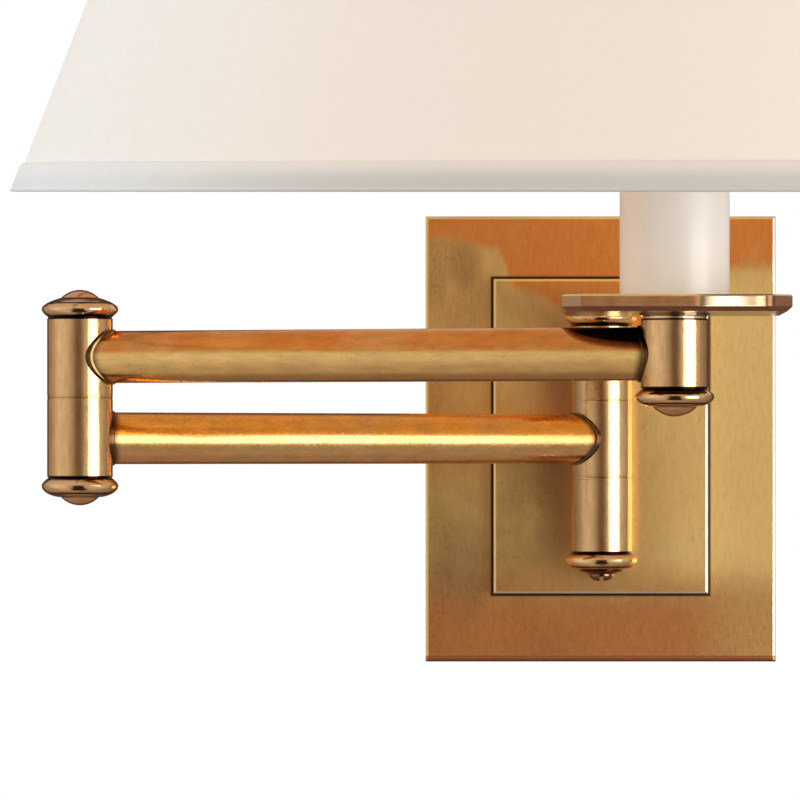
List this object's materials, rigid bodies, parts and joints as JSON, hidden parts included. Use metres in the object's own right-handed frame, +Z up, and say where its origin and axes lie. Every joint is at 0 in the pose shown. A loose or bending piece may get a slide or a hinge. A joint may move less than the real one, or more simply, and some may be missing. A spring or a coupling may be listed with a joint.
{
  "type": "swing arm wall lamp",
  "caption": "Wall lamp on a stepped rectangular plate, with a swivel post, folding tubular arms, a candle holder and a large tapered shade.",
  "frame": {"origin": "centre of the wall plate on the wall face, between the two fixing slots of the mounting bar", "axes": "+Z up, +Y into the wall, +X to the right for someone facing the lamp"},
  "size_m": [0.3903, 0.3958, 0.3993],
  "materials": {
    "brass_plate": "hand-rubbed antique brass with fine upright brushing",
    "brass_tube": "antique brass polished to a satin shine along the tubes",
    "brass_cap": "turned antique brass, polished",
    "brass_inner": "plain turned brass, not polished",
    "zinc_steel": "zinc-plated strip steel",
    "green_screw": "green-dyed earth screw",
    "ivory_sleeve": "off-white satin candle sleeve",
    "black_socket": "black moulded lampholder",
    "bulb_metal": "rolled thread of the bulb base",
    "bulb_glass": "frosted bulb glass",
    "harp_brass": "brass-plated wire and strip",
    "shade_linen": "plain off-white shade fabric on a white liner",
    "shade_trim": "folded self-fabric trim band"
  },
  "bodies": {
    "wall_base": {"mounting_bar": "zinc_steel", "ground_screw": "green_screw", "backplate": "brass_plate", "side_screws": "brass_inner", "raised_plate": "brass_plate", "post_upper_stem": "brass_tube", "post_lower_stem": "brass_tube", "stem_washers": "zinc_steel", "stem_nuts": "brass_inner", "post_upper_knuckle": "brass_tube", "post_lower_knuckle": "brass_tube", "post_washers": "brass_inner", "post_pin": "brass_inner", "post_top_cap": "brass_cap", "post_bottom_cap": "brass_cap", "post_screw": "brass_cap"},
    "lower_arm": {"post_middle_knuckle": "brass_tube", "lower_arm_tube": "brass_tube", "elbow_lower_knuckle": "brass_tube", "elbow_washer": "brass_inner", "elbow_pin": "brass_inner", "elbow_bottom_cap": "brass_cap", "elbow_top_cap": "brass_cap"},
    "upper_arm": {"elbow_upper_knuckle": "brass_tube", "upper_arm_tube": "brass_tube", "holder_knuckle": "brass_tube", "holder_bottom_cap": "brass_cap", "holder_nipple": "brass_inner", "holder_collar": "brass_cap", "drip_plate": "brass_cap", "drip_plate_nut": "brass_inner", "candle_sleeve": "ivory_sleeve", "socket_cap": "brass_inner", "socket_body": "black_socket", "socket_shell": "brass_inner", "socket_contact": "brass_inner", "bulb_base": "bulb_metal", "bulb_glass": "bulb_glass", "harp_saddle": "harp_brass", "socket_ring": "harp_brass", "harp": "harp_brass", "finial": "brass_cap"},
    "shade": {"spider": "harp_brass", "bottom_ring": "harp_brass", "shade_skin": "shade_linen", "top_trim": "shade_trim", "bottom_trim": "shade_trim"}
  },
  "joints": [
    {"name": "post_swivel", "type": "hinge", "parent": "wall_base", "child": "lower_arm", "pos_m": [0, -0.038, 0], "axis": [0, 0, 1], "range_deg": [-32, 147]},
    {"name": "elbow_swivel", "type": "hinge", "parent": "lower_arm", "child": "upper_arm", "pos_m": [-0.16067, -0.14036, 0.02475], "axis": [0, 0, 1], "range_deg": [-200, 25]},
    {"name": "shade_turn", "type": "hinge", "parent": "upper_arm", "child": "shade", "pos_m": [0.01924, -0.203, 0.11975], "axis": [0, -0.0454, 0.999], "continuous": true}
  ]
}
